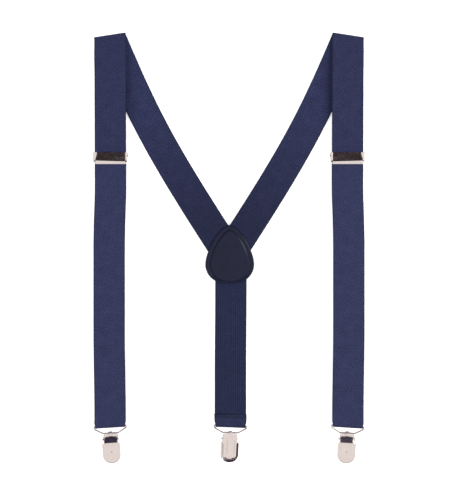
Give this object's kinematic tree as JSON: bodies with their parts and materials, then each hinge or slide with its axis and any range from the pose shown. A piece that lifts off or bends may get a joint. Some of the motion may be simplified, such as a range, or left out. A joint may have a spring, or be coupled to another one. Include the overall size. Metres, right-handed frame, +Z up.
{
  "type": "suspenders",
  "caption": "Y-back clip-on suspenders laid flat: elastic webbing straps joined by a teardrop leather patch, with sliding lever adjusters and metal clips on wire loops.",
  "frame": {"origin": "on the surface the suspenders lie on, below the centre of the overall outline", "axes": "+X across the straps, +Y from the clips towards the shoulder folds, +Z up"},
  "size_m": [0.3028, 0.4789, 0.0092],
  "materials": {
    "webbing_outer": "navy elastic webbing, fine twill face",
    "webbing_inner": "navy elastic webbing, fine ribbed back",
    "leather": "smooth glossy near-black leather",
    "thread": "dark polyester sewing thread",
    "nickel": "polished nickel-plated steel",
    "grip": "dark ribbed plastic"
  },
  "bodies": {
    "back": {"back_strap_left": "webbing_inner", "back_strap_right": "webbing_inner", "centre_strap": "webbing_inner", "centre_hem_stitch": "thread", "patch_outer": "leather", "patch_inner": "leather", "patch_seam_outer": "thread", "patch_seam_inner": "thread"},
    "front_left": {"front_strap_left": "webbing_outer", "shoulder_fold_left": "webbing_outer"},
    "adjuster_left": {"adjuster_frame_left": "nickel", "adjuster_pin_left": "nickel"},
    "adjuster_lever_left": {"adjuster_lever_left": "nickel"},
    "strap_end_left": {"lower_loop_left": "webbing_outer"},
    "wire_left": {"wire_loop_left": "nickel"},
    "clip_left": {"clip_body_left": "nickel", "clip_grip_left": "grip", "clip_pin_left": "nickel"},
    "clip_lever_left": {"clip_lever_left": "nickel"},
    "front_right": {"front_strap_right": "webbing_outer", "shoulder_fold_right": "webbing_outer"},
    "adjuster_right": {"adjuster_frame_right": "nickel", "adjuster_pin_right": "nickel"},
    "adjuster_lever_right": {"adjuster_lever_right": "nickel"},
    "strap_end_right": {"lower_loop_right": "webbing_outer"},
    "wire_right": {"wire_loop_right": "nickel"},
    "clip_right": {"clip_body_right": "nickel", "clip_grip_right": "grip", "clip_pin_right": "nickel"},
    "clip_lever_right": {"clip_lever_right": "nickel"},
    "wire_back": {"wire_loop_back": "nickel"},
    "clip_back": {"clip_body_back": "nickel", "clip_grip_back": "grip", "clip_pin_back": "nickel"},
    "clip_lever_back": {"clip_lever_back": "nickel"}
  },
  "joints": [
    {"name": "shoulder_unfold_left", "type": "hinge", "parent": "back", "child": "front_left", "pos_m": [-0.1324, 0.2344, 0.0024], "axis": [-0.9882, -0.153, 0], "range_deg": [0, 170], "deforming": ["shoulder_fold_left"]},
    {"name": "adjuster_slide_left", "type": "slide", "parent": "front_left", "child": "adjuster_left", "axis": [0, 1, 0], "range_m": [-0.2, 0.03], "deforming": ["lower_loop_left"]},
    {"name": "strap_end_slide_left", "type": "slide", "parent": "adjuster_left", "child": "strap_end_left", "axis": [0, 1, 0], "range_m": [-0.015, 0.1], "deforming": ["lower_loop_left"]},
    {"name": "adjuster_lever_open_left", "type": "hinge", "parent": "adjuster_left", "child": "adjuster_lever_left", "pos_m": [-0.1319, 0.1048, 0.0075], "axis": [-1, 0, 0], "range_deg": [0, 95]},
    {"name": "wire_swing_left", "type": "hinge", "parent": "strap_end_left", "child": "wire_left", "pos_m": [-0.1324, -0.1978, 0.0024], "axis": [-0.998, -0.0628, 0], "range_deg": [0, 60]},
    {"name": "clip_swing_left", "type": "hinge", "parent": "wire_left", "child": "clip_left", "pos_m": [-0.13188, -0.20608, 0.0024], "axis": [-0.998, -0.0628, 0], "range_deg": [0, 40]},
    {"name": "clip_lever_open_left", "type": "hinge", "parent": "clip_left", "child": "clip_lever_left", "pos_m": [-0.13146, -0.21277, 0.0046], "axis": [-0.998, -0.0628, 0], "range_deg": [0, 95]},
    {"name": "shoulder_unfold_right", "type": "hinge", "parent": "back", "child": "front_right", "pos_m": [0.1324, 0.2344, 0.0024], "axis": [-0.9882, 0.153, 0], "range_deg": [0, 170], "deforming": ["shoulder_fold_right"]},
    {"name": "adjuster_slide_right", "type": "slide", "parent": "front_right", "child": "adjuster_right", "axis": [0, 1, 0], "range_m": [-0.2, 0.03], "deforming": ["lower_loop_right"]},
    {"name": "strap_end_slide_right", "type": "slide", "parent": "adjuster_right", "child": "strap_end_right", "axis": [0, 1, 0], "range_m": [-0.015, 0.1], "deforming": ["lower_loop_right"]},
    {"name": "adjuster_lever_open_right", "type": "hinge", "parent": "adjuster_right", "child": "adjuster_lever_right", "pos_m": [0.1319, 0.1048, 0.0075], "axis": [-1, 0, 0], "range_deg": [0, 95]},
    {"name": "wire_swing_right", "type": "hinge", "parent": "strap_end_right", "child": "wire_right", "pos_m": [0.1324, -0.1978, 0.0024], "axis": [-0.998, 0.0628, 0], "range_deg": [0, 60]},
    {"name": "clip_swing_right", "type": "hinge", "parent": "wire_right", "child": "clip_right", "pos_m": [0.13188, -0.20608, 0.0024], "axis": [-0.998, 0.0628, 0], "range_deg": [0, 40]},
    {"name": "clip_lever_open_right", "type": "hinge", "parent": "clip_right", "child": "clip_lever_right", "pos_m": [0.13146, -0.21277, 0.0046], "axis": [-0.998, 0.0628, 0], "range_deg": [0, 95]},
    {"name": "wire_swing_back", "type": "hinge", "parent": "back", "child": "wire_back", "pos_m": [0.0016, -0.1975, 0.0024], "axis": [-0.9993, 0.0384, 0], "range_deg": [0, 60]},
    {"name": "clip_swing_back", "type": "hinge", "parent": "wire_back", "child": "clip_back", "pos_m": [0.00129, -0.20546, 0.00473], "axis": [-0.9993, 0.0384, 0], "range_deg": [0, 40]},
    {"name": "clip_lever_open_back", "type": "hinge", "parent": "clip_back", "child": "clip_lever_back", "pos_m": [0.00104, -0.21216, 0.00253], "axis": [0.9993, -0.0384, 0], "range_deg": [0, 95]}
  ],
  "couplings": [
    {"joint": "strap_end_slide_left", "follows": "adjuster_slide_left", "ratio": -0.5},
    {"joint": "strap_end_slide_right", "follows": "adjuster_slide_right", "ratio": -0.5}
  ]
}
